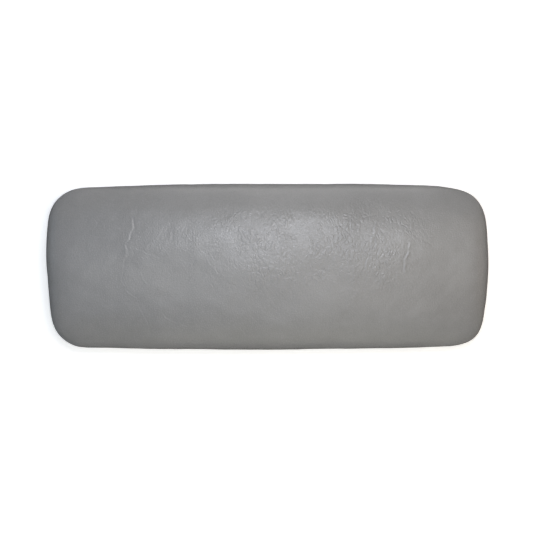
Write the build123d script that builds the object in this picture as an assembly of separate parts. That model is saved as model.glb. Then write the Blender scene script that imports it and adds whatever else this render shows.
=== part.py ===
from build123d import *
import math
import os

# Chair armrest pad, upholstered: a vinyl cover is pulled over a crowned foam cushion and stapled under a
# plywood board. Four T-nuts in the board take the arm's bolts. A moulded cover hides the staples.
# Frame: millimetres, +Z up, +X along the pad, origin in the middle of the underside.

# Overall size of the pad: 10 by 3 3/4 by 1 1/4 inches.
PAD_LENGTH = 254.0
PAD_WIDTH = 95.25
PAD_HEIGHT = 31.75

# Plan outline: every side bows outwards.
SIDE_BOW_RADIUS = 3770.0
END_BOW_RADIUS = 190.0
CORNER_RADIUS = 20.7

# Crown of the cushion, and the rolls along its upper and lower edges.
CROWN_RADIUS_ACROSS = 170.0
CROWN_RADIUS_ALONG = 2200.0
TOP_ROLL_RADIUS = 12.0
BOTTOM_ROLL_RADIUS = 6.5

# Vinyl cover: one sheet, turned under the board.
VINYL_THICKNESS = 1.1
HEM_WIDTH = 10.5
HEM_INNER_INSET = BOTTOM_ROLL_RADIUS + HEM_WIDTH

# Staples: wire section, crown across the outside, leg from the crown's outer face.
STAPLE_WIRE_THICKNESS = 0.6
STAPLE_WIRE_WIDTH = 0.95
STAPLE_CROWN = 9.5
STAPLE_LEG = 7.5
STAPLE_BEND_RADIUS = 0.8
STAPLE_TIP_CHAMFER = 0.35
STAPLE_COUNT = 30
STAPLE_INSET = BOTTOM_ROLL_RADIUS + 0.62 * HEM_WIDTH

# Under cover: a moulded plate with a lip, ribs and bosses.
PLATE_THICKNESS = 2.0
PLATE_INSET = 9.4
PLATE_EDGE_RADIUS = 1.2
LIP_WIDTH = 1.5
RIB_THICKNESS = 1.2
RIB_CLEARANCE = 0.2
STAPLE_CLEARANCE = 0.2

# Heights, from the underside up.
HEM_Z = PLATE_THICKNESS + STAPLE_CLEARANCE + STAPLE_WIRE_THICKNESS
BOARD_Z = HEM_Z + VINYL_THICKNESS
BOARD_THICKNESS = 9.5
BOARD_TOP_Z = BOARD_Z + BOARD_THICKNESS
BOARD_INSET = BOTTOM_ROLL_RADIUS + 0.6
BOARD_CHAMFER = 0.5

# Arm bolts: 1/4 inch, 20 threads to the inch, 4 inches apart along and 1 7/8 inches across.
BOLT_PITCH_ALONG = 101.6
BOLT_PITCH_ACROSS = 47.625
THREAD_MINOR_RADIUS = 2.55
BOLT_CLEARANCE_RADIUS = 4.5
BOLT_BOSS_RADIUS = 6.0

# T-nuts: a flange on top of the board, a barrel through it and four prongs.
FLANGE_RADIUS = 9.5
FLANGE_THICKNESS = 1.3
BARREL_RADIUS = 3.95
BARREL_LENGTH = 8.5
BARREL_HOLE_RADIUS = 4.0
PRONG_COUNT = 4
PRONG_WIDTH = 2.4
PRONG_THICKNESS = 1.2
PRONG_LENGTH = 5.5
PRONG_TIP_WIDTH = 0.6

# Under cover screws: number 6 countersunk wood screws.
SCREW_SPOTS = [(x, y) for x in (-96.0, 0.0, 96.0) for y in (-19.0, 19.0)]
SCREW_RADIUS = 1.75
SCREW_HOLE_RADIUS = 1.95
SCREW_HEAD_RADIUS = 3.3
SCREW_HEAD_ANGLE = 82.0
SCREW_HEAD_RIM = 0.25
SCREW_LENGTH = 12.7
SCREW_POINT = 3.0
SCREW_RECESS = 0.15
SCREW_SINK_CLEARANCE = 0.1
SCREW_BOSS_RADIUS = 4.4
DRIVE_SLOT_WIDTH = 0.9
DRIVE_SLOT_LENGTH = 3.6
DRIVE_DEPTH = 1.3

# Ways to stand a primitive on, or hang it from, the plane it is placed at.
UPWARDS = (Align.CENTER, Align.CENTER, Align.MIN)
DOWNWARDS = (Align.CENTER, Align.CENTER, Align.MAX)


def outline(inset):
    """The pad's plan outline, moved inwards by inset."""
    side_radius = SIDE_BOW_RADIUS - inset
    end_radius = END_BOW_RADIUS - inset
    side_centre = PAD_WIDTH / 2 - SIDE_BOW_RADIUS
    end_centre = PAD_LENGTH / 2 - END_BOW_RADIUS
    plan = Pos(0, side_centre) * Circle(side_radius)
    plan &= Pos(0, -side_centre) * Circle(side_radius)
    plan &= Pos(end_centre, 0) * Circle(end_radius)
    plan &= Pos(-end_centre, 0) * Circle(end_radius)
    return fillet(plan.vertices(), CORNER_RADIUS - inset)


def slab(inset, bottom, top):
    """A flat plate of the pad's plan outline."""
    return extrude(Pos(0, 0, bottom) * outline(inset), top - bottom)


def crown_body(inset):
    """A barrel lying along X, whose upper surface is the crown, moved inwards by inset."""
    axis_z = PAD_HEIGHT - CROWN_RADIUS_ACROSS
    arc_centre_z = PAD_HEIGHT - CROWN_RADIUS_ALONG
    arc_radius = CROWN_RADIUS_ALONG - inset
    reach = 0.6 * PAD_LENGTH
    end_z = arc_centre_z + math.sqrt(arc_radius**2 - reach**2)
    arc = ThreePointArc((-reach, end_z), (0, arc_centre_z + arc_radius), (reach, end_z))
    foot = Polyline((reach, end_z), (reach, axis_z), (-reach, axis_z), (-reach, end_z))
    half_section = Plane.XZ * make_face(arc + foot)
    return revolve(half_section, Axis((0, 0, axis_z), (1, 0, 0)))


def pad_form(inset):
    """The whole upholstered form, moved inwards by inset: crowned top, rolled edges, flat bottom."""
    form = slab(inset, HEM_Z + inset, PAD_HEIGHT + 1.0) & crown_body(inset)
    top_edges = form.faces().sort_by(Axis.Z)[-1].edges()
    form = fillet(top_edges, TOP_ROLL_RADIUS - inset)
    bottom_edges = form.faces().sort_by(Axis.Z)[0].edges()
    return fillet(bottom_edges, BOTTOM_ROLL_RADIUS - inset)


def bolt_places():
    """Where the four arm bolts go, as (x, y)."""
    along = BOLT_PITCH_ALONG / 2
    across = BOLT_PITCH_ACROSS / 2
    return [(x, y) for x in (-along, along) for y in (-across, across)]


def make_staple():
    """One staple at the origin: its crown lies along X on the plane Z 0, and its legs point up."""
    inner_width = STAPLE_CROWN - 2 * STAPLE_WIRE_THICKNESS
    outer = Pos(0, STAPLE_LEG / 2) * Rectangle(STAPLE_CROWN, STAPLE_LEG)
    outer = fillet(outer.vertices().sort_by(Axis.Y)[:2], STAPLE_BEND_RADIUS)
    inner_height = STAPLE_LEG - STAPLE_WIRE_THICKNESS
    inner = Pos(0, STAPLE_WIRE_THICKNESS + inner_height / 2) * Rectangle(inner_width, inner_height)
    inner = fillet(
        inner.vertices().sort_by(Axis.Y)[:2], STAPLE_BEND_RADIUS - STAPLE_WIRE_THICKNESS
    )
    profile = outer - inner
    outer_tips = profile.vertices().filter_by(lambda v: abs(abs(v.X) - STAPLE_CROWN / 2) < 1e-6)
    profile = chamfer(outer_tips.sort_by(Axis.Y)[-2:], STAPLE_TIP_CHAMFER)
    return extrude(Plane.XZ * profile, STAPLE_WIRE_WIDTH / 2, both=True)


def make_staples():
    """The staples, evenly spaced along the middle of the hem, each crown in line with the edge."""
    path = outline(STAPLE_INSET).face().outer_wire()
    staple = make_staple()
    crown_z = HEM_Z - STAPLE_WIRE_THICKNESS
    placed = []
    for i in range(STAPLE_COUNT):
        share = (i + 0.5) / STAPLE_COUNT
        spot = path @ share
        along = path % share
        turn = math.degrees(math.atan2(along.Y, along.X))
        placed.append(Pos(spot.X, spot.Y, crown_z) * Rot(0, 0, turn) * staple)
    return Compound(placed)


def make_vinyl_cover(staples):
    """The vinyl: a shell over the cushion whose hem is turned under the board and stapled."""
    cover = pad_form(0) - pad_form(VINYL_THICKNESS)
    cover -= slab(HEM_INNER_INSET, 0, BOARD_Z + 0.01)
    return cover - staples


def make_foam_cushion():
    """The foam: it fills the cover above the board and wraps the board's edge."""
    foam = pad_form(VINYL_THICKNESS)
    foam -= slab(BOARD_INSET, 0, BOARD_TOP_Z)
    flange_pocket = Cylinder(FLANGE_RADIUS, FLANGE_THICKNESS, align=UPWARDS)
    for x, y in bolt_places():
        foam -= Pos(x, y, BOARD_TOP_Z) * flange_pocket
    return foam


def make_t_nut():
    """A four-prong T-nut at the origin: its flange lies on the plane Z 0 and its barrel points down."""
    flange = Cylinder(FLANGE_RADIUS, FLANGE_THICKNESS, align=UPWARDS)
    nut = flange + Cylinder(BARREL_RADIUS, BARREL_LENGTH, align=DOWNWARDS)
    prong_x = FLANGE_RADIUS - PRONG_THICKNESS / 2 - 0.5
    prong_side = Polyline(
        (-PRONG_WIDTH / 2, 0),
        (PRONG_WIDTH / 2, 0),
        (PRONG_TIP_WIDTH / 2, -PRONG_LENGTH),
        (-PRONG_TIP_WIDTH / 2, -PRONG_LENGTH),
        (-PRONG_WIDTH / 2, 0),
    )
    prong = extrude(Plane.YZ * make_face(prong_side), PRONG_THICKNESS / 2, both=True)
    for i in range(PRONG_COUNT):
        nut += Rot(0, 0, 45 + i * 360 / PRONG_COUNT) * Pos(prong_x, 0) * prong
    bore_length = BARREL_LENGTH + FLANGE_THICKNESS
    bore = Pos(0, 0, -BARREL_LENGTH) * Cylinder(THREAD_MINOR_RADIUS, bore_length, align=UPWARDS)
    return nut - bore


def make_t_nuts():
    """The four T-nuts, in place on the board."""
    nut = make_t_nut()
    return [Pos(x, y, BOARD_TOP_Z) * nut for x, y in bolt_places()]


def make_screw():
    """A countersunk screw at the origin: its head's face is on the plane Z 0 and it points up."""
    half_angle = math.radians(SCREW_HEAD_ANGLE / 2)
    neck_z = SCREW_HEAD_RIM + (SCREW_HEAD_RADIUS - SCREW_RADIUS) / math.tan(half_angle)
    side = Polyline(
        (0, 0),
        (SCREW_HEAD_RADIUS, 0),
        (SCREW_HEAD_RADIUS, SCREW_HEAD_RIM),
        (SCREW_RADIUS, neck_z),
        (SCREW_RADIUS, SCREW_LENGTH - SCREW_POINT),
        (0.25, SCREW_LENGTH),
        (0, SCREW_LENGTH),
        (0, 0),
    )
    screw = revolve(Plane.XZ * make_face(side), Axis.Z)
    slot = Box(DRIVE_SLOT_LENGTH, DRIVE_SLOT_WIDTH, DRIVE_DEPTH, align=UPWARDS)
    return screw - slot - Rot(0, 0, 90) * slot


def make_screws():
    """The under cover's screws, with their heads just above the underside."""
    screw = make_screw()
    return Compound([Pos(x, y, SCREW_RECESS) * screw for x, y in SCREW_SPOTS])


def make_board(staples, t_nuts, screws):
    """The plywood board, with holes for the T-nuts and the slots that the fasteners cut in it."""
    board = slab(BOARD_INSET, BOARD_Z, BOARD_TOP_Z)
    board = chamfer(board.faces().sort_by(Axis.Z)[0].edges(), BOARD_CHAMFER)
    hole = Cylinder(BARREL_HOLE_RADIUS, BOARD_THICKNESS, align=UPWARDS)
    for x, y in bolt_places():
        board -= Pos(x, y, BOARD_Z) * hole
    for t_nut in t_nuts:
        board -= t_nut
    return board - screws - staples


def countersink():
    """The hollow that an under cover screw sits in, from the underside up."""
    half_angle = math.radians(SCREW_HEAD_ANGLE / 2)
    mouth = SCREW_HEAD_RADIUS + SCREW_SINK_CLEARANCE
    rim_z = SCREW_RECESS + SCREW_HEAD_RIM
    neck_z = rim_z + (mouth - SCREW_HOLE_RADIUS) / math.tan(half_angle)
    side = Polyline(
        (0, 0),
        (mouth, 0),
        (mouth, rim_z),
        (SCREW_HOLE_RADIUS, neck_z),
        (SCREW_HOLE_RADIUS, BOARD_Z),
        (0, BOARD_Z),
        (0, 0),
    )
    return revolve(Plane.XZ * make_face(side), Axis.Z)


def make_ribs():
    """Ribs inside the under cover, which join its bosses and end just short of the board."""
    height = BOARD_Z - RIB_CLEARANCE - PLATE_THICKNESS
    span_x = max(x for x, _ in SCREW_SPOTS)
    span_y = max(y for _, y in SCREW_SPOTS)
    ribs = [
        Pos(0, y, PLATE_THICKNESS) * Box(2 * span_x, RIB_THICKNESS, height, align=UPWARDS)
        for y in (-span_y, span_y)
    ]
    stations = [-span_x, -BOLT_PITCH_ALONG / 2, 0, BOLT_PITCH_ALONG / 2, span_x]
    ribs += [
        Pos(x, 0, PLATE_THICKNESS) * Box(RIB_THICKNESS, 2 * span_y, height, align=UPWARDS)
        for x in stations
    ]
    return ribs


def make_under_cover():
    """The moulded cover: plate, lip against the hem, ribs, and bosses that bear on the board."""
    plate = slab(PLATE_INSET, 0, HEM_Z) - slab(PLATE_INSET + LIP_WIDTH, PLATE_THICKNESS, HEM_Z + 1.0)
    plate = fillet(plate.faces().sort_by(Axis.Z)[0].edges(), PLATE_EDGE_RADIUS)
    for rib in make_ribs():
        plate += rib
    boss_height = BOARD_Z - PLATE_THICKNESS
    for x, y in bolt_places():
        plate += Pos(x, y, PLATE_THICKNESS) * Cylinder(BOLT_BOSS_RADIUS, boss_height, align=UPWARDS)
    for x, y in SCREW_SPOTS:
        plate += Pos(x, y, PLATE_THICKNESS) * Cylinder(SCREW_BOSS_RADIUS, boss_height, align=UPWARDS)
    for x, y in bolt_places():
        plate -= Pos(x, y, 0) * Cylinder(BOLT_CLEARANCE_RADIUS, BOARD_Z, align=UPWARDS)
    for x, y in SCREW_SPOTS:
        plate -= Pos(x, y, 0) * countersink()
    return plate


def make_parts():
    """Every sub-part by its node's name."""
    staples = make_staples()
    t_nuts = make_t_nuts()
    screws = make_screws()
    parts = {
        "vinyl_cover": make_vinyl_cover(staples),
        "foam_cushion": make_foam_cushion(),
        "plywood_board": make_board(staples, t_nuts, screws),
        "cover_staples": staples,
        "under_cover": make_under_cover(),
        "under_cover_screws": screws,
    }
    for number, nut in enumerate(t_nuts, start=1):
        parts[f"t_nut_{number}"] = nut
    return parts


os.makedirs("parts", exist_ok=True)
for name, shape in make_parts().items():
    export_step(shape, f"parts/{name}.step")
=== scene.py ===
import math

import bmesh
import bpy
import numpy as np
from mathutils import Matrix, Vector


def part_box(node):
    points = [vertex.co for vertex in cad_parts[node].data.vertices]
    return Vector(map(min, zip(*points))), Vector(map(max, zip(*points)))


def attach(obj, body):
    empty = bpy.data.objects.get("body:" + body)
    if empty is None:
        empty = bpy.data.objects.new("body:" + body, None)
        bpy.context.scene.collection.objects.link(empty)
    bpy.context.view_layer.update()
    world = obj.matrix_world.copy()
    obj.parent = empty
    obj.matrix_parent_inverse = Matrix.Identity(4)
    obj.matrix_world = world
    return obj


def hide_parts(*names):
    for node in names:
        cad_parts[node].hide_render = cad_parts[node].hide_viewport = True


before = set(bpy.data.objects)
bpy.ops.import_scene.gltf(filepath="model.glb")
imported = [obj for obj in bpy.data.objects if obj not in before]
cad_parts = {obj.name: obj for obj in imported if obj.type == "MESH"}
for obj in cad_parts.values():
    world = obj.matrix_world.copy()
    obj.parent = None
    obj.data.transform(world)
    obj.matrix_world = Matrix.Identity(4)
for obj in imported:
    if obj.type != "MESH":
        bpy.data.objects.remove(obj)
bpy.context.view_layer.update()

# A chair armrest pad: a vinyl cover over foam on a plywood board. This script replaces the two soft CAD
# solids, the cover and the foam, with finer meshes, and gives every piece its material.
# Everything is in metres. X runs along the pad, Y across it, and Z up from its flat underside.
MM = 0.001

COVER_LOW, COVER_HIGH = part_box("vinyl_cover")
BOARD_LOW, BOARD_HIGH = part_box("plywood_board")
HALF_LENGTH = COVER_HIGH.x
HALF_WIDTH = COVER_HIGH.y
TOP_Z = COVER_HIGH.z
HEM_Z = COVER_LOW.z

# The form's radii and insets are the CAD model's.
SIDE_BOW_RADIUS = 3770.0 * MM
END_BOW_RADIUS = 190.0 * MM
CORNER_RADIUS = 20.7 * MM
CROWN_RADIUS_ACROSS = 170.0 * MM
CROWN_RADIUS_ALONG = 2200.0 * MM
BOTTOM_ROLL = 6.5 * MM
HEM_INNER_INSET = 17.0 * MM
VINYL_THICKNESS = 1.1 * MM
BOARD_INSET = HALF_LENGTH - BOARD_HIGH.x

# Stuffed sides have no flat wall: above and below their widest height they round off as superellipses.
WIDEST_Z = 17.5 * MM
TOP_ROLL = 16.0 * MM
TOP_POWER = 3.2
BOTTOM_POWER = 2.6

# The control mesh: cells along and across the top, and steps down the sides.
CELLS_ALONG = 58
CELLS_ACROSS = 20
GRID_INSET = 13.0 * MM
TOP_ROLL_STEPS = 7
BOTTOM_ROLL_STEPS = 5
HEM_STEPS = 3
SPACING_INSET = 4.0 * MM
EVENING_ROUNDS = 20

# The cloth simulation that settles the cover over the foam.
SETTLE_FRAMES = 20
CLOTH_SETTINGS = {
    "quality": 8,
    "mass": 0.3,
    "tension_stiffness": 40,
    "compression_stiffness": 40,
    "shear_stiffness": 20,
    "bending_stiffness": 2,
    "vertex_group_mass": "pinned",
    "use_pressure": True,
    "uniform_pressure_force": 1.5,
}
SETTLE_CAP = 1.2 * MM
# It starts from a slightly smaller shape, by this depth times a share along X, Y and Z.
SETTLE_START = 0.3 * MM
SETTLE_SHARES = (2.2, 0.4, 1.0)
# The hem stays where it is, and the movement fades in over this height above it.
HEM_EASE = 8.0 * MM

# The cover is pulled a little unevenly over the ends and corners: place, reach and shift, in millimetres.
UNEVEN_PULLS = [
    ((-127, 22), 20, (-0.6, 0.0)),
    ((-127, -10), 24, (0.7, 0.0)),
    ((127, -15), 22, (-0.5, 0.0)),
    ((109, 46), 10, (0.0, -1.4)),
    ((121, 37), 11, (-0.2, -0.4)),
    ((119, -40), 8, (0.7, -0.8)),
    ((-110, 45), 15, (0.0, -0.7)),
]

# The larger creases of the worn vinyl, as points in plan, in millimetres. They run mostly across the pad.
# Each is a small fold: seen along its points, the ridge is on the right and the groove on the left.
LEFT_CREASES = [
    [(-76, 29), (-76, 23), (-77, 19), (-79, 15)],
    [(-80, 14), (-79, 9), (-80, 6)],
    [(-54, 22), (-54, 18), (-55, 15)],
]
RIGHT_CREASES = [
    [(58, 17), (60, 21), (61, 26)],
    [(60, 10), (61, 14), (60, 18)],
    [(56, -2), (55, 2), (57, 6)],
    [(77, 5), (79, 10), (79, 15)],
    [(77, -3), (77, 2), (78, 6)],
]
FAINT_CREASES = [
    [(-75, 33), (-76, 27)],
    [(-74, 36), (-74, 32), (-75, 29)],
    [(-80, 8), (-81, 5), (-81, 0)],
    [(-85, -3), (-85, -7)],
    [(-38, 11), (-34, 6), (-28, -3)],
    [(-33, 9), (-29, 4)],
    [(-81, 0), (-82, -6), (-80, -10)],
    [(-99, 29), (-96, 25), (-99, 21)],
    [(-92, 28), (-92, 21)],
    [(-86, 26), (-86, 21)],
    [(-80, 22), (-81, 16)],
    [(-72, 1), (-71, -4), (-67, -10)],
    [(-75, 12), (-66, 8), (-59, 5)],
    [(-43, 7), (-42, 3), (-43, -3)],
    [(-17, 26), (-17, 22), (-20, 19)],
    [(-11, 26), (-11, 22)],
    [(13, 32), (15, 23)],
    [(16, 29), (17, 20)],
    [(30, 1), (30, -6)],
    [(46, 2), (46, -6)],
    [(80, 30), (80, 25)],
    [(83, 30), (83, 24)],
    [(86, 16), (93, 12)],
    [(-81, -11), (-73, -18)],
    [(-74, -18), (-67, -33)],
    [(-62, -24), (-54, -30), (-45, -33)],
    [(-16, -33), (-11, -40)],
    [(-10, -26), (-4, -33)],
    [(13, -14), (14, -19)],
]
LEFT_CREASE_DEPTH = 0.075 * MM
RIGHT_CREASE_DEPTH = 0.16 * MM
FAINT_CREASE_DEPTH = 0.03 * MM
CREASE_HALF_WIDTH = 0.8 * MM
FAINT_HALF_WIDTH = 0.55 * MM
CREASE_TAPER = 3.0 * MM
CREASE_SMOOTHING = 6
CREASE_WOBBLE = 0.25 * MM
CREASE_WOBBLE_SIZE = 6.0 * MM
CREASE_UNEVENNESS = 0.25
CREASE_UNEVENNESS_SIZE = 5.0 * MM
# The mesh is divided once within each of these distances of a crease.
CREASE_MESH_REACHES = (1.9 * MM, 1.2 * MM)

# Soft waves all over the cover: their height and their size.
BROAD_WAVES = (0.10 * MM, 30.0 * MM)
SMALL_WAVES = (0.03 * MM, 9.0 * MM)
NOISE_WAVES = 14

# Dimples at the staples and pleats round the corners. They are full at the first height above the hem, and
# gone at the second.
DIMPLE_DEPTH = 0.35 * MM
DIMPLE_HALF_WIDTH = 4.2 * MM
DIMPLE_HEIGHTS = (0.2 * MM, 13.0 * MM)
PLEAT_DEPTH = 0.7 * MM
PLEATS_PER_CORNER = 6
PLEAT_HEIGHTS = (1.0 * MM, 8.0 * MM)
# Relief on the sides is gone a margin inside the bottom roll, and fades over the ease before that.
PUCKER_MARGIN = 1.5 * MM
WAVE_MARGIN = 1.0 * MM
SIDE_EASE = 2.0 * MM

# The foam's gaps to the cover and board, to the board's edge, and to the T-nuts' flanges.
FOAM_GAP = 0.05 * MM
BOARD_EDGE_GAP = 0.2 * MM
FLANGE_GAP = 0.3 * MM
# The foam is lifted within the reach of a T-nut's middle, and eases down beyond it.
FLANGE_REACH = 10.5 * MM
FLANGE_EASE = 3.0 * MM
# Further in than this from the board's edge, no foam is lower than the board's top.
OVER_BOARD_MARGIN = 0.5 * MM
T_NUTS = [f"t_nut_{number}" for number in range(1, 5)]


# ---- The pad's form -------------------------------------------------------------------------------------


SIDE_CENTRE = np.array([0.0, HALF_WIDTH - SIDE_BOW_RADIUS])
END_CENTRE = np.array([HALF_LENGTH - END_BOW_RADIUS, 0.0])


def corner_circle():
    """The corner circle's centre, and the angles where it meets the side's arc and the end's arc."""
    from_side = SIDE_BOW_RADIUS - CORNER_RADIUS
    from_end = END_BOW_RADIUS - CORNER_RADIUS
    across = END_CENTRE - SIDE_CENTRE
    gap = np.linalg.norm(across)
    along = (from_side**2 - from_end**2 + gap**2) / (2 * gap)
    rise = math.sqrt(from_side**2 - along**2)
    unit = across / gap
    centre = SIDE_CENTRE + unit * along + np.array([unit[1], -unit[0]]) * rise
    side_angle = math.atan2(*(centre - SIDE_CENTRE)[::-1])
    end_angle = math.atan2(*(centre - END_CENTRE)[::-1])
    return centre, side_angle, end_angle


CORNER_CENTRE, SIDE_ANGLE, END_ANGLE = corner_circle()


def arc_points(centre, radius, start, end, steps=200):
    """Points along a circular arc."""
    angles = np.linspace(start, end, steps)
    return centre + radius * np.stack([np.cos(angles), np.sin(angles)], axis=1)


def evenly(points, cells):
    """A dense line of points, divided into equal cells along its length."""
    steps = np.linalg.norm(np.diff(points, axis=0), axis=1)
    travelled = np.concatenate([[0.0], np.cumsum(steps)])
    wanted = np.linspace(0.0, travelled[-1], cells + 1)
    return np.stack([np.interp(wanted, travelled, points[:, i]) for i in (0, 1)], axis=1)


def quarter_outline(inset):
    """The outline's first quarter: half of the side, then half of the end, each from its middle."""
    middle = (SIDE_ANGLE + END_ANGLE) / 2
    corner = CORNER_RADIUS - inset
    side = arc_points(SIDE_CENTRE, SIDE_BOW_RADIUS - inset, math.pi / 2, SIDE_ANGLE)
    side_turn = arc_points(CORNER_CENTRE, corner, SIDE_ANGLE, middle)
    end = arc_points(END_CENTRE, END_BOW_RADIUS - inset, 0.0, END_ANGLE)
    end_turn = arc_points(CORNER_CENTRE, corner, END_ANGLE, middle)
    return np.concatenate([side, side_turn[1:]]), np.concatenate([end, end_turn[1:]])


def inset_and_outward(x, y):
    """How far inside the outline each plan point is, and the outward direction there."""
    ax, ay = np.abs(x), np.abs(y)
    found = []
    for centre, radius in (
        (SIDE_CENTRE, SIDE_BOW_RADIUS),
        (END_CENTRE, END_BOW_RADIUS),
        (CORNER_CENTRE, CORNER_RADIUS),
    ):
        dx, dy = ax - centre[0], ay - centre[1]
        reach = np.hypot(dx, dy) + 1e-12
        found.append((radius - reach, dx / reach, dy / reach))
    side, end, corner = found
    angle = np.arctan2(ay - CORNER_CENTRE[1], ax - CORNER_CENTRE[0])
    in_corner = (angle > END_ANGLE) & (angle < SIDE_ANGLE)
    nearer_side = side[0] < end[0]
    inset, out_x, out_y = (
        np.where(in_corner, corner[i], np.where(nearer_side, side[i], end[i])) for i in range(3)
    )
    return inset, out_x * np.sign(x), out_y * np.sign(y)


def rounded(share, power):
    """How high a superellipse of height 1 still is at that share of its reach."""
    return (1.0 - np.clip(share, 0.0, 1.0) ** power) ** (1.0 / power)


def top_height(plan, depth):
    """Height of the top, moved inwards by depth: the crown, rounded off towards the widest height."""
    offset = CROWN_RADIUS_ALONG - CROWN_RADIUS_ACROSS
    radial = np.sqrt((CROWN_RADIUS_ALONG - depth) ** 2 - plan[:, 0] ** 2) - offset
    crown = TOP_Z - CROWN_RADIUS_ACROSS + np.sqrt(radial**2 - plan[:, 1] ** 2)
    inset, _, _ = inset_and_outward(plan[:, 0], plan[:, 1])
    share = (TOP_ROLL - inset) / (TOP_ROLL - depth)
    return WIDEST_Z + (crown - WIDEST_Z) * rounded(share, TOP_POWER)


def boundary_loop(side, end):
    """Joins the quarter's two lines, and their mirror images, into one closed loop, anticlockwise."""
    top = np.concatenate([side[::-1] * (-1, 1), side[1:]])
    right = np.concatenate([end[::-1] * (1, -1), end[1:]])
    return np.concatenate([(top * (1, -1))[:-1], right[:-1], top[::-1][:-1], (right * (-1, 1))[::-1][:-1]])


def ring_directions():
    """The ring of points round the grid, and the outward direction at each."""
    side, end = quarter_outline(SPACING_INSET)
    loop = boundary_loop(evenly(side, CELLS_ALONG // 2), evenly(end, CELLS_ACROSS // 2))
    _, out_x, out_y = inset_and_outward(loop[:, 0], loop[:, 1])
    outward = np.stack([out_x, out_y], axis=1)
    return loop - outward * (GRID_INSET - SPACING_INSET), outward


RING, OUTWARD = ring_directions()
RING_COUNT = len(RING)


def ring_at(inset, height=None, depth=0.0):
    """A ring of points at that inset from the outline, at a height or on the top."""
    plan = RING + OUTWARD * (GRID_INSET - inset)
    if height is None:
        return np.column_stack([plan, top_height(plan, depth)])
    return np.column_stack([plan, np.full(RING_COUNT, height)])


def filled(loop):
    """A grid of plan points that fills a closed loop: its four sides blended, then evened out."""
    bottom = loop[: CELLS_ALONG + 1]
    right = loop[CELLS_ALONG : CELLS_ALONG + CELLS_ACROSS + 1]
    top = loop[CELLS_ALONG + CELLS_ACROSS : 2 * CELLS_ALONG + CELLS_ACROSS + 1][::-1]
    left = np.concatenate([loop[2 * CELLS_ALONG + CELLS_ACROSS :], loop[:1]])[::-1]
    u = np.linspace(0, 1, CELLS_ALONG + 1)[None, :, None]
    v = np.linspace(0, 1, CELLS_ACROSS + 1)[:, None, None]
    sides = (1 - v) * bottom[None] + v * top[None] + (1 - u) * left[:, None] + u * right[:, None]
    low_corners = (1 - u) * (1 - v) * bottom[0] + u * (1 - v) * bottom[-1]
    high_corners = (1 - u) * v * top[0] + u * v * top[-1]
    grid = sides - (low_corners + high_corners)
    for _ in range(EVENING_ROUNDS):
        grid[1:-1, 1:-1] = (grid[:-2, 1:-1] + grid[2:, 1:-1] + grid[1:-1, :-2] + grid[1:-1, 2:]) / 4
    return grid.reshape(-1, 2)


def grid_index(i, j):
    """The index of a grid point, i cells along and j cells across."""
    return j * (CELLS_ALONG + 1) + i


def grid_loop():
    """The indices of the grid's edge, in the boundary loop's order."""
    bottom = [grid_index(i, 0) for i in range(CELLS_ALONG)]
    right = [grid_index(CELLS_ALONG, j) for j in range(CELLS_ACROSS)]
    top = [grid_index(i, CELLS_ACROSS) for i in range(CELLS_ALONG, 0, -1)]
    left = [grid_index(0, j) for j in range(CELLS_ACROSS, 0, -1)]
    return bottom + right + top + left


def grid_faces():
    """The grid's faces, which look up."""
    return [
        (grid_index(i, j), grid_index(i + 1, j), grid_index(i + 1, j + 1), grid_index(i, j + 1))
        for j in range(CELLS_ACROSS)
        for i in range(CELLS_ALONG)
    ]


def band(inner, outer):
    """The faces between two rings of indices."""
    return [
        (inner[k], outer[k], outer[(k + 1) % RING_COUNT], inner[(k + 1) % RING_COUNT])
        for k in range(RING_COUNT)
    ]


def upholstered_rings(depth):
    """The rings down the form's side, moved inwards by depth, from the grid's edge to the hem's turn."""
    first_share = (TOP_ROLL - GRID_INSET) / (TOP_ROLL - depth)
    first_angle = math.asin(first_share ** (TOP_POWER / 2))
    rings = []
    for angle in np.linspace(first_angle, math.pi / 2, TOP_ROLL_STEPS + 1):
        inset = TOP_ROLL - (TOP_ROLL - depth) * math.sin(angle) ** (2 / TOP_POWER)
        rings.append(ring_at(inset, depth=depth))
    drop = WIDEST_Z - HEM_Z - depth
    for angle in np.linspace(0, math.pi / 2, BOTTOM_ROLL_STEPS + 1)[1:]:
        inset = BOTTOM_ROLL - (BOTTOM_ROLL - depth) * max(math.cos(angle), 0.0) ** (2 / BOTTOM_POWER)
        rings.append(ring_at(inset, WIDEST_Z - drop * math.sin(angle) ** (2 / BOTTOM_POWER)))
    return rings


def assemble(grid, rings):
    """Points and faces of a grid with rings of faces round it. The first ring is the grid's own edge."""
    points = [grid]
    faces = grid_faces()
    inner = grid_loop()
    count = len(grid)
    for ring in rings[1:]:
        outer = list(range(count, count + RING_COUNT))
        faces += band(inner, outer)
        points.append(ring)
        count += RING_COUNT
        inner = outer
    return np.concatenate(points), faces, inner


def cover_surface(depth):
    """The cover's surface, moved inwards by depth, from the crown to the hem's inner edge."""
    rings = upholstered_rings(depth)
    for step in range(1, HEM_STEPS + 1):
        inset = BOTTOM_ROLL + (HEM_INNER_INSET - BOTTOM_ROLL) * step / HEM_STEPS
        rings.append(ring_at(inset, HEM_Z + depth))
    plan = filled(rings[0][:, :2])
    points, faces, _ = assemble(np.column_stack([plan, top_height(plan, depth)]), rings)
    return points, faces


# ---- Mesh tools -----------------------------------------------------------------------------------------


def new_piece(name, points, faces):
    """A mesh object made from arrays of points and faces."""
    mesh = bpy.data.meshes.new(name)
    mesh.from_pydata([tuple(p) for p in points], [], faces)
    mesh.update()
    piece = bpy.data.objects.new(name, mesh)
    bpy.context.scene.collection.objects.link(piece)
    return piece


def discard(piece):
    """Removes an object and its mesh."""
    mesh = piece.data
    bpy.data.objects.remove(piece)
    bpy.data.meshes.remove(mesh)


def points_of(mesh):
    """A mesh's points as an array."""
    flat = np.empty(len(mesh.vertices) * 3)
    mesh.vertices.foreach_get("co", flat)
    return flat.reshape(-1, 3)


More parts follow.
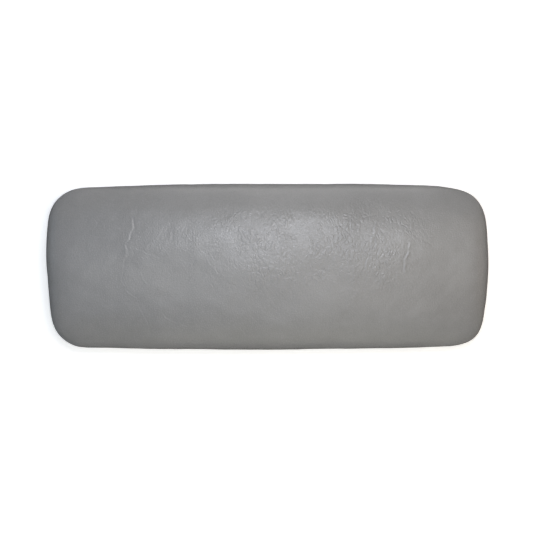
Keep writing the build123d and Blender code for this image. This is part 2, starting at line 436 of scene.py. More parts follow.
def evaluated(piece):
    """Points and faces of a piece with its modifiers."""
    graph = bpy.context.evaluated_depsgraph_get()
    mesh = piece.evaluated_get(graph).to_mesh()
    found = points_of(mesh), [tuple(p.vertices) for p in mesh.polygons]
    piece.evaluated_get(graph).to_mesh_clear()
    return found


def subdivided(points, faces, levels):
    """Smooth subdivision. The first points of the result are the ones given, in the same order."""
    piece = new_piece("control", points, faces)
    smoother = piece.modifiers.new("smooth", "SUBSURF")
    smoother.levels = levels
    found = evaluated(piece)
    discard(piece)
    return found


def smooth_through(points, faces, levels, rounds=2):
    """Smooth subdivision whose surface passes very nearly through the points given."""
    control = points.copy()
    for _ in range(rounds):
        smooth, _ = subdivided(control, faces, 1)
        control += points - smooth[: len(points)]
    return subdivided(control, faces, levels)


def settle(points, faces, pinned):
    """How far a short cloth simulation, under light pressure, moves each point, up to a cap.

    Pinned points stay.
    """
    piece = new_piece("settling", points, faces)
    piece.vertex_groups.new(name="pinned").add(pinned, 1.0, "REPLACE")
    cloth = piece.modifiers.new("cloth", "CLOTH")
    for name, value in CLOTH_SETTINGS.items():
        setattr(cloth.settings, name, value)
    cloth.settings.effector_weights.gravity = 0
    cloth.collision_settings.use_collision = False
    cloth.point_cache.frame_start = 1
    cloth.point_cache.frame_end = SETTLE_FRAMES
    for number in range(1, SETTLE_FRAMES + 1):
        bpy.context.scene.frame_set(number)
    settled, _ = evaluated(piece)
    bpy.context.scene.frame_set(1)
    discard(piece)
    moved = settled - points
    far = np.linalg.norm(moved, axis=1, keepdims=True)
    print("cloth moved points by up to", far.max() / MM, "mm, mean", far.mean() / MM, "mm")
    return moved * (SETTLE_CAP * np.tanh(far / SETTLE_CAP) / np.maximum(far, 1e-9))


# ---- Creases --------------------------------------------------------------------------------------------


def rounded_line(points):
    """A crease's points in metres, with its corners smoothed by a Catmull-Rom curve."""
    line = np.array(points) * MM
    padded = np.concatenate([2 * line[:1] - line[1:2], line, 2 * line[-1:] - line[-2:-1]])
    found = []
    for a, b, c, d in zip(padded, padded[1:], padded[2:], padded[3:]):
        square = 2 * a - 5 * b + 4 * c - d
        cube = 3 * b - a - 3 * c + d
        for t in np.linspace(0, 1, CREASE_SMOOTHING, endpoint=False):
            found.append(0.5 * (2 * b + (c - a) * t + square * t**2 + cube * t**3))
    return np.array(found + [line[-1]])


CREASE_LINES = [(LEFT_CREASE_DEPTH, CREASE_HALF_WIDTH, rounded_line(points)) for points in LEFT_CREASES]
CREASE_LINES += [(RIGHT_CREASE_DEPTH, CREASE_HALF_WIDTH, rounded_line(points)) for points in RIGHT_CREASES]
CREASE_LINES += [(FAINT_CREASE_DEPTH, FAINT_HALF_WIDTH, rounded_line(points)) for points in FAINT_CREASES]


def distance_to(line, plan):
    """Each plan point's distance from a line, negative on its right, and how far along it is nearest."""
    starts, steps = line[:-1], np.diff(line, axis=0)
    lengths = np.linalg.norm(steps, axis=1)
    before = np.concatenate([[0.0], np.cumsum(lengths)])
    best = np.full(len(plan), 1e9)
    along = np.zeros(len(plan))
    for start, step, length, travelled in zip(starts, steps, lengths, before):
        t = np.clip(((plan - start) @ step) / length**2, 0, 1)
        away = plan - start - t[:, None] * step
        side = np.where(step[0] * away[:, 1] - step[1] * away[:, 0] < 0, -1.0, 1.0)
        gap = np.linalg.norm(away, axis=1)
        nearer = gap < np.abs(best)
        best[nearer] = (gap * side)[nearer]
        along[nearer] = travelled + t[nearer] * length
    return best, along, before[-1]


def crease_field(plan):
    """The height of the creases at each plan point, negative in a groove, and how much the vinyl is lightened
    there: partly wear, partly a painted highlight along each crease's middle.
    """
    height = np.zeros(len(plan))
    shade = np.zeros(len(plan))
    flat = np.column_stack([plan, np.zeros(len(plan))])
    wobble = np.stack([smooth_noise(flat, CREASE_WOBBLE_SIZE, seed) for seed in (11, 12)], axis=1)
    plan = plan + CREASE_WOBBLE * wobble
    strength = 1.0 + CREASE_UNEVENNESS * smooth_noise(flat, CREASE_UNEVENNESS_SIZE, 13)
    for depth, half_width, line in CREASE_LINES:
        low, high = line.min(0) - 5 * half_width, line.max(0) + 5 * half_width
        near = np.flatnonzero(((plan > low) & (plan < high)).all(1))
        if len(near) == 0:
            continue
        gap, along, total = distance_to(line, plan[near])
        taper_length = min(CREASE_TAPER, total / 2)
        end_gap = np.minimum(along, total - along)
        taper = np.sin(np.clip(end_gap / taper_length, 0, 1) * math.pi / 2)
        taper = np.clip((0.1 + 0.9 * taper) * strength[near], 0.0, 1.5)
        t = gap / half_width
        height[near] -= 1.5 * depth * taper * t * np.exp(-(t**2))
        # Partly wear, partly painted highlight: the vinyl is lightened along each crease's middle line.
        shade[near] = np.maximum(shade[near], np.exp(-2 * t**2) * taper * depth / LEFT_CREASE_DEPTH)
    return height, shade


def refine(piece, reach):
    """Divides the top faces that lie within reach of a crease."""
    mesh = piece.data
    centres = np.array([p.center[:] for p in mesh.polygons])
    ups = np.array([p.normal.z for p in mesh.polygons])
    gap = np.full(len(centres), 1e9)
    top = np.flatnonzero(ups > 0.5)
    for _, _, line in CREASE_LINES:
        low, high = line.min(0) - reach, line.max(0) + reach
        plan = centres[top, :2]
        near = top[((plan > low) & (plan < high)).all(1)]
        if len(near):
            gap[near] = np.minimum(gap[near], np.abs(distance_to(line, centres[near, :2])[0]))
    working = bmesh.new()
    working.from_mesh(mesh)
    working.faces.ensure_lookup_table()
    edges = {e for f in np.flatnonzero(gap < reach) for e in working.faces[f].edges}
    ordered = sorted(edges, key=lambda e: e.index)
    bmesh.ops.subdivide_edges(working, edges=ordered, cuts=1, use_grid_fill=True)
    working.to_mesh(mesh)
    working.free()


# ---- The cover ------------------------------------------------------------------------------------------


def smooth_noise(points, size, seed):
    """Soft noise of about -1 to 1, from a fixed sum of waves, with the size of its features in metres."""
    draws = np.random.default_rng(seed)
    total = np.zeros(len(points))
    for _ in range(NOISE_WAVES):
        direction = draws.normal(size=3)
        direction /= np.linalg.norm(direction)
        wave = 2 * math.pi / (size * draws.uniform(0.7, 1.6))
        total += np.sin(points @ direction * wave + draws.uniform(0, 2 * math.pi))
    return total / math.sqrt(NOISE_WAVES / 2)


def staple_places():
    """The middle of each staple, found from the CAD staples' separate solids."""
    working = bmesh.new()
    working.from_mesh(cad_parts["cover_staples"].data)
    bmesh.ops.remove_doubles(working, verts=working.verts, dist=1e-6)
    seen, places = set(), []
    for start in working.verts:
        if start in seen:
            continue
        island, waiting = [], [start]
        seen.add(start)
        while waiting:
            vertex = waiting.pop()
            island.append(vertex.co[:])
            for edge in vertex.link_edges:
                other = edge.other_vert(vertex)
                if other not in seen:
                    seen.add(other)
                    waiting.append(other)
        box = np.array(island)
        places.append((box.min(0) + box.max(0)) / 2)
    working.free()
    return np.array(places)


def faded(height, full, gone):
    """1 up to the height where relief is full, falling to 0 where it is gone."""
    return np.clip((gone - height) / (gone - full), 0, 1)


def on_side(inset, margin):
    """1 near the outline, falling to 0 at a margin inside the bottom roll."""
    return np.clip((BOTTOM_ROLL + margin - inset) / SIDE_EASE, 0, 1)


def pucker_field(points):
    """Dimples where the staples pull the vinyl, and pleats round the corners, below the side's middle."""
    inset, _, _ = inset_and_outward(points[:, 0], points[:, 1])
    pull = np.zeros(len(points))
    for place in staple_places():
        _, staple_x, staple_y = inset_and_outward(place[:1], place[1:2])
        sideways = (points[:, 0] - place[0]) * -staple_y + (points[:, 1] - place[1]) * staple_x
        outwards = (points[:, 0] - place[0]) * staple_x + (points[:, 1] - place[1]) * staple_y
        pull += np.where(outwards > 0, np.exp(-((sideways / DIMPLE_HALF_WIDTH) ** 2)), 0.0)
    above_hem = points[:, 2] - HEM_Z
    dimple_fade = faded(above_hem, *DIMPLE_HEIGHTS) ** 1.5
    pleat_fade = faded(above_hem, *PLEAT_HEIGHTS)
    ax, ay = np.abs(points[:, 0]) - CORNER_CENTRE[0], np.abs(points[:, 1]) - CORNER_CENTRE[1]
    turn = (np.arctan2(ay, ax) - END_ANGLE) / (SIDE_ANGLE - END_ANGLE)
    in_corner = np.clip(np.minimum(turn, 1 - turn) * 6, 0, 1)
    pleats = np.abs(np.sin(turn * math.pi * PLEATS_PER_CORNER + 0.4)) ** 0.6 - 1.0
    relief = PLEAT_DEPTH * pleats * in_corner * pleat_fade - DIMPLE_DEPTH * pull * dimple_fade
    return relief * on_side(inset, PUCKER_MARGIN)


def add_relief(piece):
    """Moves the cover's outer points along their normals: soft waves, creases, dimples and pleats."""
    mesh = piece.data
    points = points_of(mesh)
    normals = np.empty(len(points) * 3)
    mesh.vertex_normals.foreach_get("vector", normals)
    normals = normals.reshape(-1, 3)
    on_top = np.clip((normals[:, 2] - 0.2) / 0.5, 0, 1)
    height, shade = crease_field(points[:, :2])
    inset, _, _ = inset_and_outward(points[:, 0], points[:, 1])
    loose = np.maximum(on_top, on_side(inset, WAVE_MARGIN))
    waves = BROAD_WAVES[0] * smooth_noise(points, BROAD_WAVES[1], 3)
    waves += SMALL_WAVES[0] * smooth_noise(points, SMALL_WAVES[1], 5)
    move = height * on_top + waves * loose + pucker_field(points)
    moved = points + normals * move[:, None]
    mesh.vertices.foreach_set("co", moved.ravel())
    # The crease attribute carries that lightening: partly wear, partly a painted highlight.
    attribute = mesh.attributes.new("crease", "FLOAT", "POINT")
    attribute.data.foreach_set("value", (shade * on_top).astype(np.float32))
    mesh.update()


def joined_shell(name, outside, inner_points, inner_faces):
    """Closes the outer surface with an inner one: their hem edges are joined by a strip of faces."""
    working = bmesh.new()
    working.from_mesh(outside.data)
    placed = [working.verts.new(p) for p in inner_points]
    for face in inner_faces:
        working.faces.new([placed[i] for i in reversed(face)])
    working.edges.index_update()
    open_edges = [e for e in working.edges if e.is_boundary]
    bmesh.ops.bridge_loops(working, edges=open_edges)
    bmesh.ops.recalc_face_normals(working, faces=working.faces)
    for face in working.faces:
        face.smooth = True
    mesh = bpy.data.meshes.new(name)
    working.to_mesh(mesh)
    open_left = sum(1 for e in working.edges if not e.is_manifold)
    working.free()
    print(name, "faces", len(mesh.polygons), "open edges", open_left)
    shell = bpy.data.objects.new(name, mesh)
    bpy.context.scene.collection.objects.link(shell)
    discard(outside)
    return shell


def uneven_pull(points):
    """How far each point above the hem is shifted where the cover is pulled unevenly."""
    shift = np.zeros_like(points)
    for place, reach, amount in UNEVEN_PULLS:
        gap = np.linalg.norm(points[:, :2] - np.array(place) * MM, axis=1)
        shift[:, :2] += np.exp(-((gap / (reach * MM)) ** 2))[:, None] * np.array(amount) * MM
    return shift * np.clip((points[:, 2:] - HEM_Z) / HEM_EASE, 0, 1)


def settled_movement():
    """How far the cover's control points move from the CAD form when it settles over the foam."""
    drawn, faces = cover_surface(0.0)
    inside, _ = cover_surface(SETTLE_START)
    above_hem = np.clip((drawn[:, 2:] - HEM_Z) / HEM_EASE, 0, 1)
    start = drawn + (inside - drawn) * SETTLE_SHARES * above_hem
    hem_points = (HEM_STEPS + 1) * RING_COUNT
    pinned = list(range(len(drawn) - hem_points, len(drawn)))
    movement = settle(start, faces, pinned) + uneven_pull(drawn)
    return movement + (start - drawn)


def make_cover(movement):
    """The vinyl cover, a closed shell of the sheet's thickness."""
    points, faces = cover_surface(0.0)
    outer_points, outer_faces = smooth_through(points + movement, faces, 2)
    outside = new_piece("outside", outer_points, outer_faces)
    for reach in CREASE_MESH_REACHES:
        refine(outside, reach)
    add_relief(outside)
    points, faces = cover_surface(VINYL_THICKNESS)
    inner_points, inner_faces = smooth_through(points + movement, faces, 1)
    return joined_shell("cover", outside, inner_points, inner_faces)


# ---- The foam -------------------------------------------------------------------------------------------


def foam_ceiling(plan):
    """Height of the foam's flat lower face, which swells up over the T-nuts' flanges."""
    height = np.full(len(plan), BOARD_HIGH.z + FOAM_GAP)
    for name in T_NUTS:
        low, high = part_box(name)
        middle = np.array([(low.x + high.x) / 2, (low.y + high.y) / 2])
        gap = np.linalg.norm(plan - middle, axis=1)
        share = np.clip((FLANGE_REACH + FLANGE_EASE - gap) / FLANGE_EASE, 0, 1)
        lift = (high.z + FLANGE_GAP - height) * share * share * (3 - 2 * share)
        height = np.maximum(height, height + lift)
    return height


def make_foam(movement):
    """The foam cushion: one closed solid that wraps the board's edge."""
    depth = VINYL_THICKNESS + FOAM_GAP
    rings = upholstered_rings(depth)
    plan = filled(rings[0][:, :2])
    board_edge = BOARD_INSET - BOARD_EDGE_GAP
    shared = len(plan) + RING_COUNT * (len(rings) - 1)
    round_the_board = [
        (board_edge - 0.2 * MM, BOARD_LOW.z + FOAM_GAP),
        (board_edge, BOARD_LOW.z + 0.8 * MM),
        (board_edge, (BOARD_LOW.z + BOARD_HIGH.z) / 2),
        (board_edge, BOARD_HIGH.z - 0.6 * MM),
        (board_edge + 0.7 * MM, BOARD_HIGH.z + FOAM_GAP),
    ]
    rings += [ring_at(inset, height) for inset, height in round_the_board]
    points, faces, last = assemble(np.column_stack([plan, top_height(plan, depth)]), rings)
    points[:shared] += movement[:shared]
    ceiling_plan = filled(points[last][:, :2])
    ceiling = np.column_stack([ceiling_plan, foam_ceiling(ceiling_plan)])
    loop = grid_loop()
    placed = dict(zip(loop, last))
    inside = [i for i in range(len(ceiling)) if i not in placed]
    placed.update({i: len(points) + n for n, i in enumerate(inside)})
    points = np.concatenate([points, ceiling[inside]])
    faces += [tuple(placed[i] for i in reversed(face)) for face in grid_faces()]
    fine_points, fine_faces = smooth_through(points, faces, 1)
    inset, _, _ = inset_and_outward(fine_points[:, 0], fine_points[:, 1])
    over_board = inset > BOARD_INSET + OVER_BOARD_MARGIN
    fine_points[over_board, 2] = np.maximum(fine_points[over_board, 2], BOARD_HIGH.z + FOAM_GAP)
    piece = new_piece("foam", fine_points, fine_faces)
    for face in piece.data.polygons:
        face.use_smooth = True
    return piece


# ---- Materials ------------------------------------------------------------------------------------------


def put(tree, kind, **settings):
    """A new shader node. Each setting is a property, or an input given as a value or as another's output."""
    made = tree.nodes.new(kind)
    for key, value in settings.items():
        if hasattr(made, key):
            setattr(made, key, value)
            continue
        name = key.replace("_", " ")
        target = next((s for s in made.inputs if s.name.lower() == name.lower() and s.enabled), None)
        if target is None:
            raise KeyError(f"{kind} has no input {name}")
        if isinstance(value, bpy.types.NodeSocket):
            tree.links.new(value, target)
        else:
            target.default_value = value
    return made


def start_material(name):
    """A material with its node tree, its principled shader and its object coordinates."""
    material = bpy.data.materials.new(name)
    material.use_nodes = True
    tree = material.node_tree
    shader = tree.nodes["Principled BSDF"]
    place = tree.nodes.new("ShaderNodeTexCoord").outputs["Object"]
    return material, tree, shader, place


def ramp(tree, value, *stops):
    """A colour ramp's output, from stops of (position, grey or colour)."""
    made = put(tree, "ShaderNodeValToRGB", Fac=value)
    elements = made.color_ramp.elements
    while len(elements) < len(stops):
        elements.new(0.5)
    for element, (position, colour) in zip(elements, stops):
        element.position = position
        shade = (colour,) * 3 if isinstance(colour, float) else colour
        element.color = (*shade, 1.0)
    return made.outputs["Color"]


def maths(tree, operation, a, b):
    """The output of one arithmetic node."""
    made = tree.nodes.new("ShaderNodeMath")
    made.operation = operation
    for socket, value in zip(made.inputs, (a, b)):
        if isinstance(value, bpy.types.NodeSocket):
            tree.links.new(value, socket)
        else:
            socket.default_value = value
    return made.outputs[0]


def blended(tree, share, a, b, mode="MIX"):
    """Two colours mixed."""
    made = tree.nodes.new("ShaderNodeMix")
    made.data_type = "RGBA"
    made.blend_type = mode
    for socket, value in ((made.inputs[0], share), (made.inputs[6], a), (made.inputs[7], b)):
        if isinstance(value, bpy.types.NodeSocket):
            tree.links.new(value, socket)
        else:
            socket.default_value = (*value, 1.0) if isinstance(value, tuple) else value
    return made.outputs[2]


def noise(tree, place, scale, detail=3.0, roughness=0.5, stretch=None):
    """The value of a noise texture."""
    if stretch:
        place = put(tree, "ShaderNodeMapping", Vector=place, Scale=stretch).outputs["Vector"]
    return put(
        tree, "ShaderNodeTexNoise", Vector=place, Scale=scale, Detail=detail, Roughness=roughness
    ).outputs["Fac"]


def bump(tree, height, distance, strength=1.0, under=None):
    """A bump's normal, laid over another's."""
    settings = {"Height": height, "Distance": distance, "Strength": strength}
    if under is not None:
        settings["Normal"] = under
    return put(tree, "ShaderNodeBump", **settings).outputs["Normal"]


def smooth_step(tree, value, low, high, start=0.0, end=1.0):
    """A smooth change from start to end as the value goes from low to high."""
    return put(
        tree, "ShaderNodeMapRange", interpolation_type="SMOOTHSTEP", Value=value,
        From_Min=low, From_Max=high, To_Min=start, To_Max=end,
    ).outputs["Result"]


def pushed_about(tree, place, scale, detail, reach):
    """Coordinates shifted by a noise of that scale, by up to its reach in metres."""
    push = put(tree, "ShaderNodeTexNoise", Vector=place, Scale=scale, Detail=detail).outputs["Color"]
    shift = put(tree, "ShaderNodeVectorMath", operation="SCALE", Vector=push, Scale=reach).outputs["Vector"]
    moved = put(tree, "ShaderNodeVectorMath", operation="ADD", Vector=place)
    tree.links.new(shift, moved.inputs[1])
    return moved.outputs["Vector"]


def cell_walls(tree, place, scale):
    """How far each point is from the nearest wall between the cells of a Voronoi pattern."""
    return put(
        tree, "ShaderNodeTexVoronoi", feature="DISTANCE_TO_EDGE", Vector=place, Scale=scale
    ).outputs["Distance"]


# Forearms have flexed the cover most round the middle of its top: along X and across Y, the crinkles are
# gone at the first distance and full at the second. They grow stronger from left to right.
FLEXED_ALONG = (104.0 * MM, 64.0 * MM)
FLEXED_ACROSS = (36.0 * MM, 12.0 * MM)
FLEXED_MIDDLE_Y = 11.0 * MM
CRINKLES_START_X = -55.0 * MM
CRINKLES_FULL_X = 10.0 * MM
CRINKLES_LEFT = 0.3
CRINKLES_RIGHT = 1.25
CRINKLE_HEIGHT = 0.075 * MM


def crinkles(tree, place):
    """Fine crinkles that run mostly across the pad, in patches where forearms have flexed the cover."""
    swirled = pushed_about(tree, place, 160.0, 3.0, 5.0 * MM)
    stretched = put(tree, "ShaderNodeMapping", Vector=swirled, Scale=(1.0, 0.55, 1.0)).outputs["Vector"]
    folds = smooth_step(tree, cell_walls(tree, stretched, 420.0), 0.0, 0.3)
    axes = put(tree, "ShaderNodeSeparateXYZ", Vector=place)
    along = maths(tree, "ABSOLUTE", axes.outputs["X"], 0.0)
    across = maths(tree, "ABSOLUTE", maths(tree, "SUBTRACT", axes.outputs["Y"], FLEXED_MIDDLE_Y), 0.0)
    flexed = maths(
        tree, "MULTIPLY", smooth_step(tree, along, *FLEXED_ALONG), smooth_step(tree, across, *FLEXED_ACROSS)
    )
    patches = smooth_step(tree, noise(tree, place, 70.0, 3.0), 0.36, 0.60)
    patches = maths(tree, "ADD", maths(tree, "MULTIPLY", patches, 0.7), 0.3)
    towards_right = smooth_step(
        tree, axes.outputs["X"], CRINKLES_START_X, CRINKLES_FULL_X, CRINKLES_LEFT, CRINKLES_RIGHT
    )
    strength = maths(tree, "MULTIPLY", flexed, maths(tree, "MULTIPLY", patches, towards_right))
    return maths(tree, "MULTIPLY", folds, strength)


VINYL_DARK = (0.208, 0.2075, 0.2065)
VINYL_LIGHT = (0.234, 0.233, 0.232)
# The creases are lightened towards this grey, by this share: partly wear, partly a painted highlight.
VINYL_WORN_AND_HIGHLIGHT = (0.32, 0.315, 0.32)
CREASE_WEAR_AND_HIGHLIGHT = 0.12


def vinyl_material():
    """Grey upholstery vinyl: a pebbled leather grain, fine stretch wrinkles and a soft satin surface."""
    material, tree, shader, place = start_material("grey_vinyl")
    handled = noise(tree, place, 90.0, 2.0)
    pebbles = cell_walls(tree, pushed_about(tree, place, 420.0, 2.0, 1.6 * MM), 780.0)
    grain = ramp(tree, pebbles, (0.0, 0.0), (0.35, 1.0))
    pores = noise(tree, place, 2600.0, 2.0)
    wrinkles = noise(tree, place, 260.0, 4.0, 0.55, stretch=(1.0, 0.28, 1.0))
    waves = noise(tree, place, 70.0, 2.0)
    normal = bump(tree, crinkles(tree, place), CRINKLE_HEIGHT)
    normal = bump(tree, wrinkles, 0.09 * MM, 0.5, normal)
    normal = bump(tree, waves, 0.4 * MM, 0.15, normal)
    normal = bump(tree, grain, 0.035 * MM, 0.8, normal)
    normal = bump(tree, pores, 0.01 * MM, 0.5, normal)
    tree.links.new(normal, shader.inputs["Normal"])
    patches = noise(tree, place, 28.0, 4.0)
    base = ramp(tree, patches, (0.3, VINYL_DARK), (0.7, VINYL_LIGHT))
    # Painted shade: the vinyl is darkened in the valleys of its grain.
    grain_valley_shade = ramp(tree, grain, (0.0, 0.86), (0.6, 1.0))
    base = blended(tree, 0.7, base, grain_valley_shade, "MULTIPLY")
    # Partly wear, partly painted highlight: the vinyl is lightened along the creases.
    crease = put(tree, "ShaderNodeAttribute", attribute_name="crease").outputs["Fac"]
    base = blended(tree, maths(tree, "MULTIPLY", crease, CREASE_WEAR_AND_HIGHLIGHT), base, VINYL_WORN_AND_HIGHLIGHT)
    tree.links.new(base, shader.inputs["Base Color"])
    polish = maths(tree, "ADD", maths(tree, "MULTIPLY", grain, 0.4), handled)
    tree.links.new(ramp(tree, polish, (0.2, 0.36), (1.1, 0.25)), shader.inputs["Roughness"])
    shader.inputs["Specular IOR Level"].default_value = 0.4
    return material


def foam_material():
    """Open-cell polyurethane foam."""
    material, tree, shader, place = start_material("cream_foam")
    cells = put(tree, "ShaderNodeTexVoronoi", Vector=place, Scale=1500.0).outputs["Distance"]
    lumps = noise(tree, place, 240.0, 3.0)
    # Painted shade: the foam is darker in the pits of its cells, where the bump sinks.
    base = ramp(tree, cells, (0.0, (0.50, 0.44, 0.30)), (0.7, (0.82, 0.77, 0.62)))
    base = blended(tree, maths(tree, "MULTIPLY", lumps, 0.4), base, (0.74, 0.66, 0.46))
    tree.links.new(base, shader.inputs["Base Color"])
    normal = bump(tree, lumps, 0.3 * MM, 0.4)
    tree.links.new(bump(tree, cells, 0.25 * MM, 0.9, normal), shader.inputs["Normal"])
    shader.inputs["Roughness"].default_value = 0.95
    shader.inputs["Specular IOR Level"].default_value = 0.15
    return material


# The board's thickness in plies. The outer plies are half as thick as the others.
PLIES_THICK = 7.0


def plywood_material():
    """Birch plywood: rotary-cut grain on the faces and stacked plies round the edge."""
    material, tree, shader, place = start_material("plywood")
    parts = put(tree, "ShaderNodeSeparateXYZ", Vector=place)
    grain = noise(tree, place, 60.0, 6.0, 0.6, stretch=(0.12, 1.6, 1.0))
    fibres = noise(tree, place, 900.0, 3.0, 0.6, stretch=(0.05, 1.0, 1.0))
    face = ramp(tree, grain, (0.3, (0.50, 0.33, 0.17)), (0.7, (0.70, 0.52, 0.32)))
    face = blended(tree, maths(tree, "MULTIPLY", fibres, 0.35), face, (0.42, 0.27, 0.14))
    plies = maths(tree, "MULTIPLY", parts.outputs["Z"], PLIES_THICK / (BOARD_HIGH.z - BOARD_LOW.z))
    stripe = maths(tree, "PINGPONG", plies, 1.0)
    edge = ramp(tree, stripe, (0.42, (0.62, 0.46, 0.28)), (0.58, (0.30, 0.18, 0.09)))
    normal = tree.nodes.new("ShaderNodeNewGeometry").outputs["Normal"]
    facing = put(tree, "ShaderNodeSeparateXYZ", Vector=normal).outputs["Z"]
    on_edge = ramp(tree, maths(tree, "ABSOLUTE", facing, 0.0), (0.4, 1.0), (0.6, 0.0))
    tree.links.new(blended(tree, on_edge, face, edge), shader.inputs["Base Color"])
    tree.links.new(bump(tree, fibres, 0.08 * MM, 0.6), shader.inputs["Normal"])
    shader.inputs["Roughness"].default_value = 0.68
    return material


def metal_material(name, colour, dull, roughness):
    """Plated steel: mottled plating, fine scratches and duller patches."""
    material, tree, shader, place = start_material(name)
    mottle = noise(tree, place, 900.0, 4.0)
    scratches = noise(tree, place, 3500.0, 2.0, 0.5, stretch=(1.0, 0.08, 1.0))
    base = ramp(tree, mottle, (0.3, dull), (0.7, colour))
    tree.links.new(base, shader.inputs["Base Color"])
    rough = ramp(tree, mottle, (0.3, roughness + 0.15), (0.7, roughness))
    tree.links.new(rough, shader.inputs["Roughness"])
    tree.links.new(bump(tree, scratches, 0.01 * MM, 0.5), shader.inputs["Normal"])
    shader.inputs["Metallic"].default_value = 1.0
    return material


def plastic_material():
    """Black moulded polypropylene with a fine spark-eroded texture."""
    material, tree, shader, place = start_material("black_polypropylene")
    spark = noise(tree, place, 2200.0, 3.0, 0.6)
    flow = noise(tree, place, 45.0, 3.0)
    base = ramp(tree, flow, (0.3, (0.018, 0.018, 0.020)), (0.7, (0.028, 0.028, 0.030)))
    tree.links.new(base, shader.inputs["Base Color"])
    tree.links.new(ramp(tree, spark, (0.3, 0.62), (0.7, 0.48)), shader.inputs["Roughness"])
    tree.links.new(bump(tree, spark, 0.03 * MM, 0.8), shader.inputs["Normal"])
    shader.inputs["Specular IOR Level"].default_value = 0.45
    return material


# The floor's glow near the pad, where it starts to rise, and where it has met the backdrop's tone.
BACKDROP_GREY = 0.82
FLOOR_GLOW = 0.45
GLOW_STARTS_TO_RISE = 0.3
GLOW_MEETS_BACKDROP = 1.6


def floor_material():
    """A white light table: a pale matt floor, also lit from below, so shadows on it stay faint.

    Its glow rises away from the pad, to meet the backdrop's tone.
    """
    material, tree, shader, place = start_material("studio_floor")
    base = ramp(tree, noise(tree, place, 3.0, 2.0), (0.0, 0.88), (1.0, 0.92))
    tree.links.new(base, shader.inputs["Base Color"])
    shader.inputs["Roughness"].default_value = 0.9
    shader.inputs["Specular IOR Level"].default_value = 0.1
    shader.inputs["Emission Color"].default_value = (1.0, 1.0, 1.0, 1.0)
    distance = put(tree, "ShaderNodeVectorMath", operation="LENGTH", Vector=place).outputs["Value"]
    glow = smooth_step(
        tree, distance, GLOW_STARTS_TO_RISE, GLOW_MEETS_BACKDROP, FLOOR_GLOW, BACKDROP_GREY
    )
    tree.links.new(glow, shader.inputs["Emission Strength"])
    return material


def paint(piece, material):
    """Gives a piece one material."""
    piece.data.materials.clear()
    piece.data.materials.append(material)


# ---- Studio ---------------------------------------------------------------------------------------------


FLOOR_HALF_SIZE = 4.0
FLOOR_DROP = 0.05 * MM

# Name, place, target, size, power and colour.
LIGHTS = [
    ("key", (0.02, 0.08, 0.42), (0.018, 0.02, 0.0), (0.19, 0.03), 0.44, (0.97, 1.0, 1.1)),
    ("softbox", (0.04, -0.01, 0.45), (0.02, 0.0, 0.0), (0.4, 0.4), 1.15, (1.0, 1.0, 0.96)),
    ("cool_box", (-0.14, -0.01, 0.45), (-0.02, 0.0, 0.0), (0.4, 0.4), 0.25, (0.38, 0.58, 1.0)),
    ("warm_box", (0.22, -0.01, 0.45), (0.04, 0.0, 0.0), (0.4, 0.4), 0.2, (1.0, 0.65, 0.35)),
    ("back", (0.05, 0.6, 0.5), (0.0, 0.0, 0.0), (0.5, 0.5), 1.0, (1.0, 1.0, 1.0)),
    ("low_back", (0.05, 0.7, 0.2), (0.0, 0.0, 0.0), (0.5, 0.3), 1.0, (1.0, 0.99, 0.95)),
    ("front", (0.05, -0.6, 0.5), (0.0, 0.0, 0.0), (0.5, 0.5), 1.0, (1.0, 0.98, 0.78)),
    ("warm_side", (0.75, -0.05, 0.5), (0.05, 0.0, 0.0), (0.5, 0.5), 0.6, (1.0, 0.75, 0.5)),
    ("cool_side", (-0.75, 0.05, 0.5), (-0.05, 0.0, 0.0), (0.5, 0.5), 0.55, (0.6, 0.8, 1.0)),
]

# The camera looks almost straight down, tilted and turned by these angles in degrees.
CAMERA_PLACE = (-0.0004, 0.0461, 0.7369)
CAMERA_TILT = -3.65
CAMERA_TURN = -0.19
CAMERA_LENS = 85
CAMERA_SENSOR = 36


def aim(thing, target):
    """Turns a light or camera towards a point."""
    direction = Vector(target) - thing.location
    thing.rotation_euler = direction.to_track_quat("-Z", "Y").to_euler()


def area_light(name, place, target, size, power, colour):
    """A soft rectangular light."""
    light = bpy.data.lights.new(name, "AREA")
    light.shape = "RECTANGLE"
    light.size, light.size_y = size
    light.energy = power
    light.color = colour
    lamp = bpy.data.objects.new(name, light)
    lamp.location = place
    lamp.visible_camera = False
    aim(lamp, target)
    bpy.context.scene.collection.objects.link(lamp)


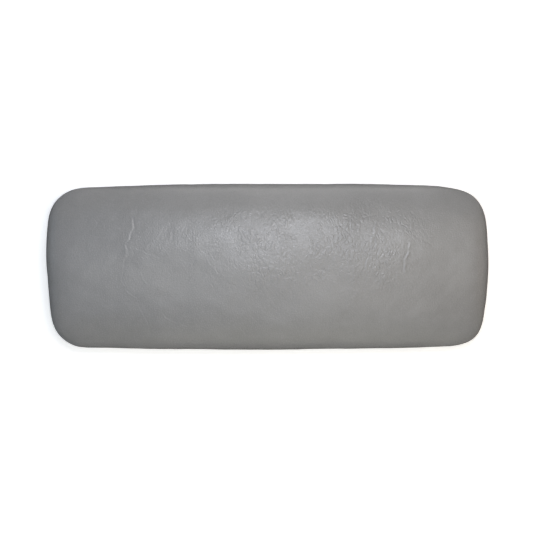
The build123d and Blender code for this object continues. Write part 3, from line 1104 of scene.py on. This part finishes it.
def make_backdrop():
    """The world: a pale studio backdrop, which the camera sees but which doesn't light the pad."""
    world = bpy.data.worlds.new("studio")
    bpy.context.scene.world = world
    world.use_nodes = True
    background = world.node_tree.nodes["Background"]
    background.inputs["Color"].default_value = (BACKDROP_GREY, BACKDROP_GREY, BACKDROP_GREY, 1.0)
    background.inputs["Strength"].default_value = 1.0
    world.cycles_visibility.diffuse = False
    world.cycles_visibility.glossy = False


def make_floor():
    """The pale floor, which lights the pad but is left out of the pad's reflections."""
    far = FLOOR_HALF_SIZE
    corners = [(-far, -far, 0), (far, -far, 0), (far, far, 0), (-far, far, 0)]
    floor = new_piece("floor", corners, [(0, 1, 2, 3)])
    floor.location.z = -FLOOR_DROP
    paint(floor, floor_material())
    floor.visible_glossy = False


def make_camera():
    """The camera, above the pad."""
    camera = bpy.data.objects.new("camera", bpy.data.cameras.new("camera"))
    camera.data.lens = CAMERA_LENS
    camera.data.sensor_width = CAMERA_SENSOR
    camera.data.clip_start = 0.01
    camera.location = CAMERA_PLACE
    camera.rotation_euler = (math.radians(CAMERA_TILT), 0.0, math.radians(CAMERA_TURN))
    bpy.context.scene.collection.objects.link(camera)
    bpy.context.scene.camera = camera
    bpy.context.scene.view_settings.view_transform = "Standard"


def make_studio():
    """Floor, lights, backdrop and camera."""
    make_floor()
    for settings in LIGHTS:
        area_light(*settings)
    make_backdrop()
    make_camera()


# ---- Everything together --------------------------------------------------------------------------------


def paint_cad_nodes():
    """Materials for the pieces that keep their CAD shape."""
    zinc = metal_material("zinc_plate", (0.72, 0.73, 0.74), (0.50, 0.51, 0.52), 0.3)
    wire = metal_material("galvanised_wire", (0.70, 0.70, 0.69), (0.48, 0.48, 0.47), 0.35)
    black = metal_material("black_oxide", (0.06, 0.06, 0.065), (0.03, 0.03, 0.032), 0.4)
    paint(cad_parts["plywood_board"], plywood_material())
    paint(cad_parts["cover_staples"], wire)
    paint(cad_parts["under_cover"], plastic_material())
    paint(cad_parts["under_cover_screws"], black)
    for name in T_NUTS:
        paint(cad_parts[name], zinc)


make_studio()
paint_cad_nodes()
movement = settled_movement()

cover = make_cover(movement)
paint(cover, vinyl_material())
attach(cover, "root")
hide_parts("vinyl_cover")

foam = make_foam(movement)
paint(foam, foam_material())
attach(foam, "root")
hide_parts("foam_cushion")
